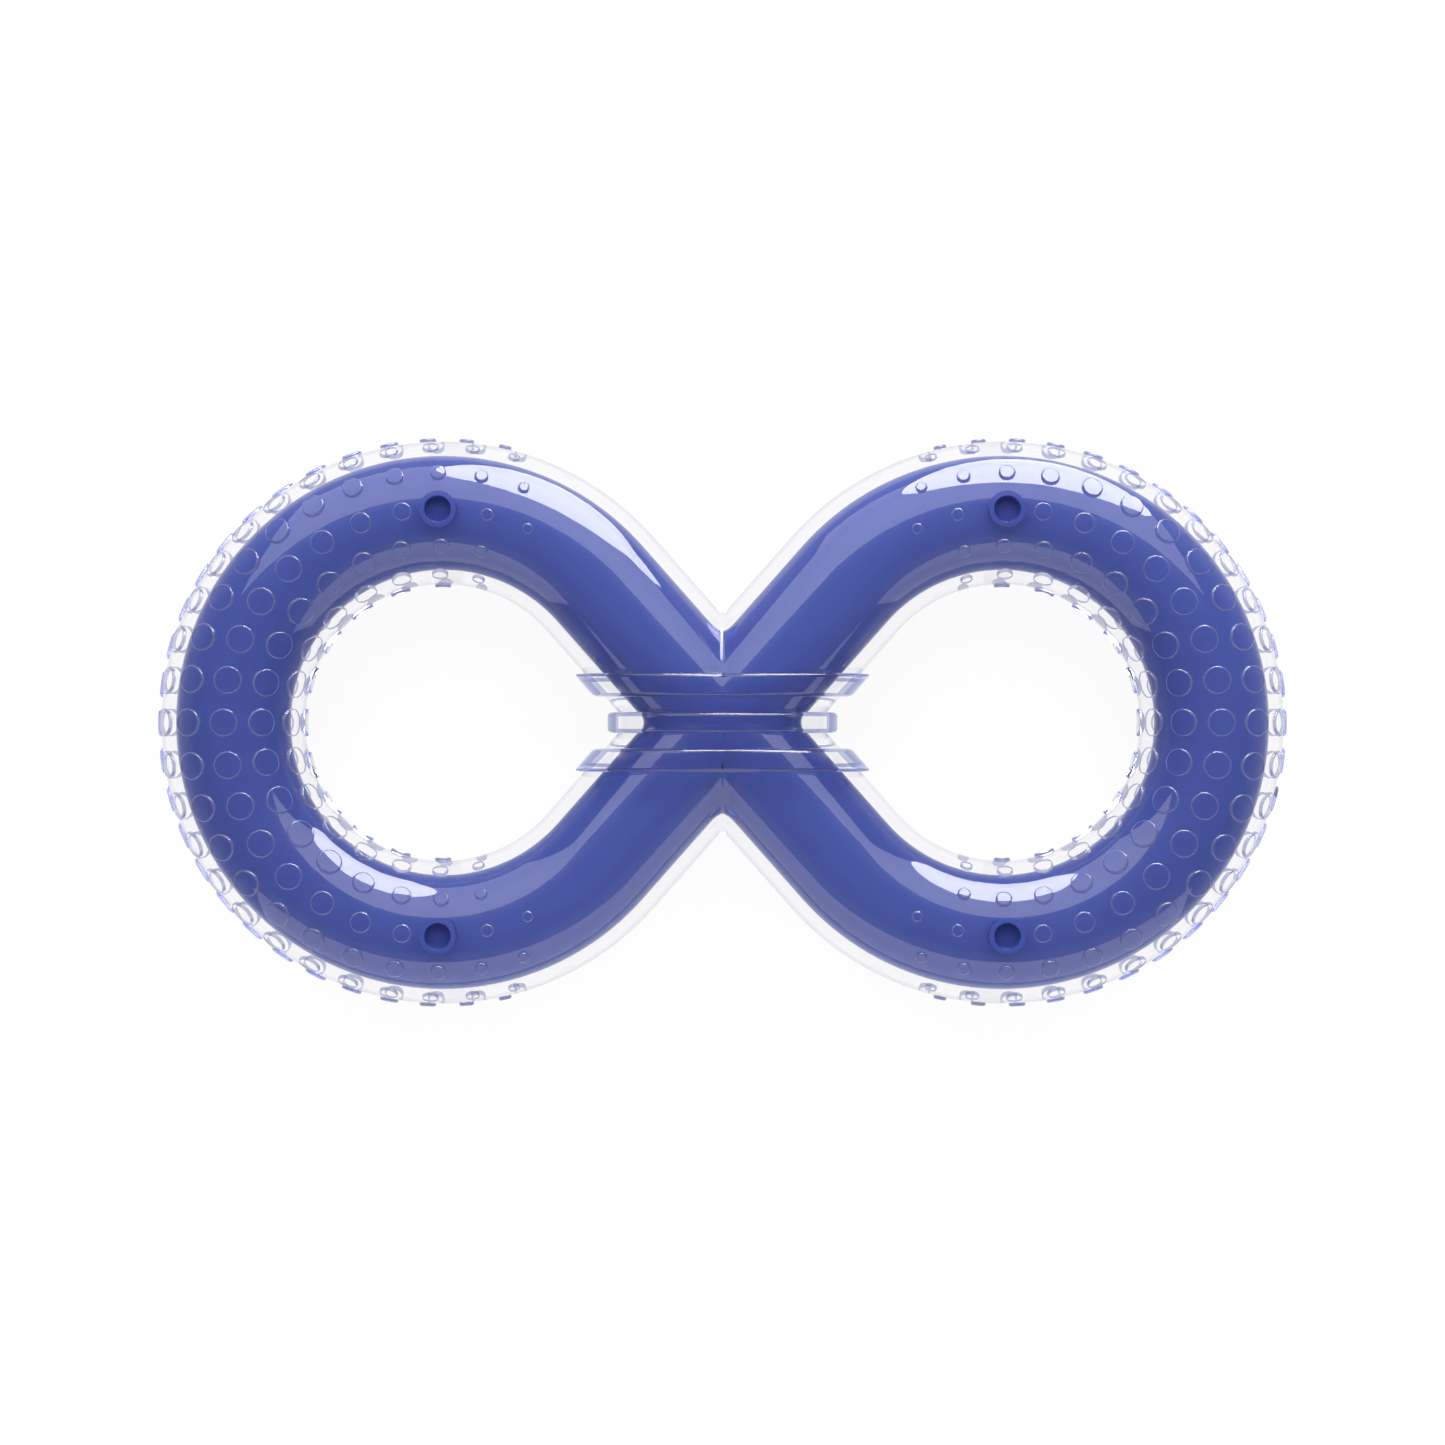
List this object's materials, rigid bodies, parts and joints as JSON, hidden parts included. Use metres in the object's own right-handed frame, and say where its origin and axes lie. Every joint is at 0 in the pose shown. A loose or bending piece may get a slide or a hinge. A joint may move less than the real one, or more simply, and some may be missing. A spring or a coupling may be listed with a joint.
{
  "type": "figure-eight tug ring",
  "caption": "Two thick round rings joined in a figure eight: a clear soft rubber shell with raised waist bands moulded over a hollow blue core.",
  "frame": {"origin": "where the centrelines of the two rings cross, on the mid plane", "axes": "+X from the crossing to one ring's centre, +Z out of the front face, square to the plane of the rings"},
  "size_m": [0.2776, 0.139, 0.0394],
  "materials": {
    "clear_rubber": "clear, glossy",
    "blue_core": "glossy moulded"
  },
  "bodies": {
    "root": {"clear_shell": "clear_rubber", "core_front_half": "blue_core", "core_back_half": "blue_core"}
  },
  "joints": []
}
